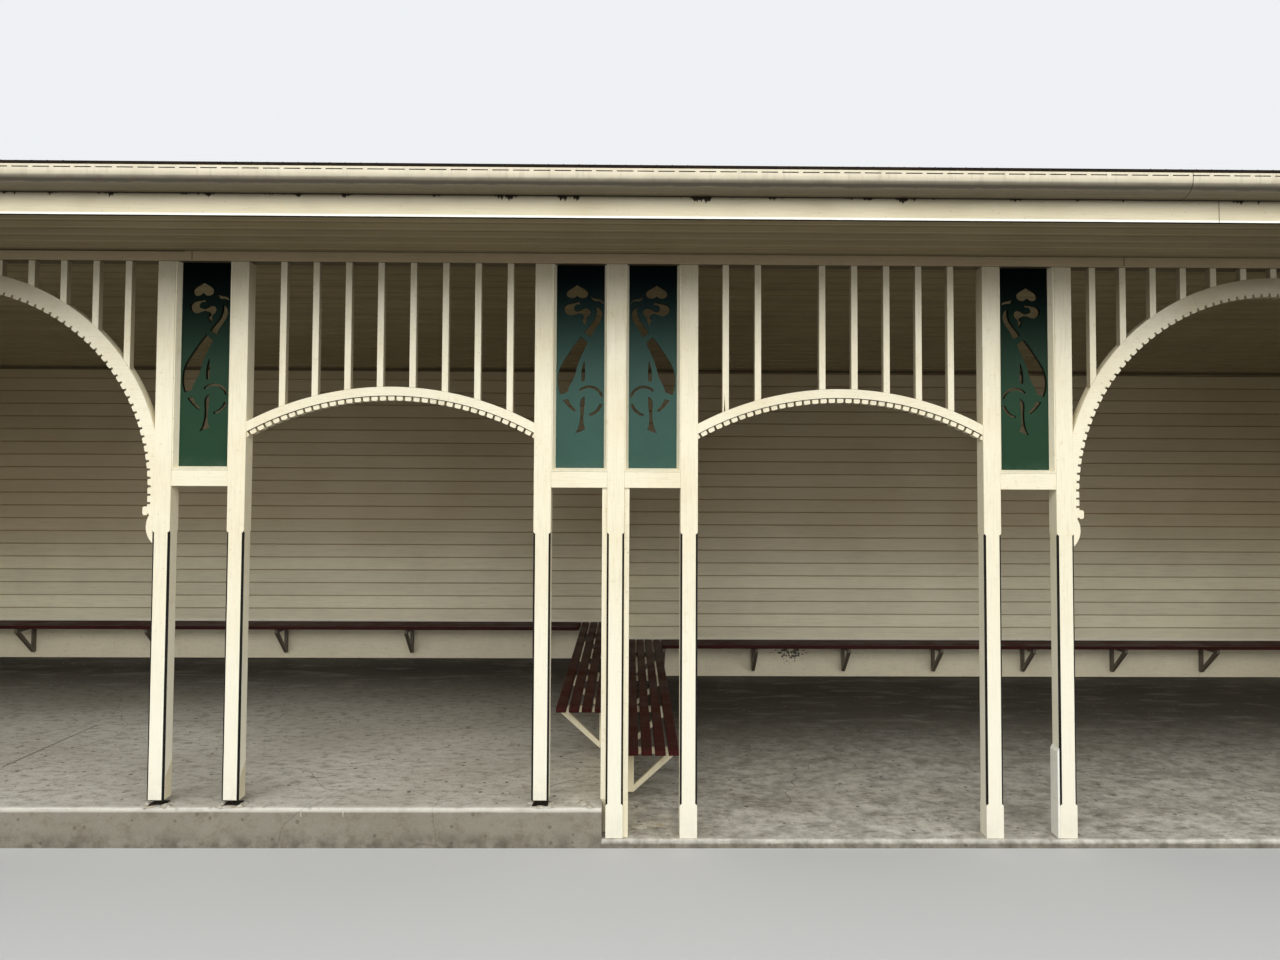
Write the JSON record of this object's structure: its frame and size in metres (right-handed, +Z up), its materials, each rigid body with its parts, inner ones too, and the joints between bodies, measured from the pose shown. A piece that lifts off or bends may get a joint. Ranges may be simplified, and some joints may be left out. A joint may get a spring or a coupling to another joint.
{
  "type": "open fronted timber shelter shed",
  "caption": "Long open fronted timber shelter with arched friezes, pierced panels, slat benches and a low ridged roof.",
  "frame": {"origin": "middle of the building's footprint box, on the ground at its low side", "axes": "+X along the front to the right, +Y from the open front to the back wall, +Z up"},
  "size_m": [16.048, 5.664, 3.9779],
  "materials": {
    "concrete": "worn, trowelled, dull",
    "cream_paint": "gloss paint on timber, weathered",
    "wall_paint": "paint on boards",
    "ceiling_paint": "dull paint on lining boards",
    "green_paint": "gloss paint on pierced board",
    "maroon_paint": "gloss paint on slats, worn",
    "bare_timber": "sawn, unpainted",
    "shoe_steel": "dark, rusting",
    "gutter_steel": "cream paint on sheet steel",
    "roof_steel": "galvanised sheet, weathered"
  },
  "bodies": {
    "root": {"back_benches": "maroon_paint", "back_wall_left": "wall_paint", "back_wall_right": "wall_paint", "barge_boards": "cream_paint", "battens": "bare_timber", "bench_brackets": "cream_paint", "ceiling": "ceiling_paint", "centre_post": "cream_paint", "end_wall_left": "wall_paint", "end_wall_right": "wall_paint", "fascias": "cream_paint", "flat_arch_1": "cream_paint", "flat_arch_2": "cream_paint", "flat_arch_3": "cream_paint", "flat_arch_4": "cream_paint", "floor_slab_left": "concrete", "floor_slab_right": "concrete", "fretwork_1": "green_paint", "fretwork_2": "green_paint", "fretwork_3": "green_paint", "fretwork_4": "green_paint", "fretwork_5": "green_paint", "fretwork_6": "green_paint", "fretwork_7": "green_paint", "fretwork_8": "green_paint", "frieze_trim": "cream_paint", "gutters": "gutter_steel", "head_beam": "cream_paint", "left_posts": "cream_paint", "panel_beads": "cream_paint", "panel_rails": "cream_paint", "partition_benches": "maroon_paint", "partition_trims": "cream_paint", "partition_wall": "wall_paint", "post_shoes": "shoe_steel", "rafters": "bare_timber", "ridge_cap": "roof_steel", "right_posts": "cream_paint", "roof_back": "roof_steel", "roof_front": "roof_steel", "scotia": "wall_paint", "soffits": "cream_paint", "spindles_left": "cream_paint", "spindles_right": "cream_paint", "verge_linings": "cream_paint", "wide_arch_left": "cream_paint", "wide_arch_right": "cream_paint"}
  },
  "joints": []
}
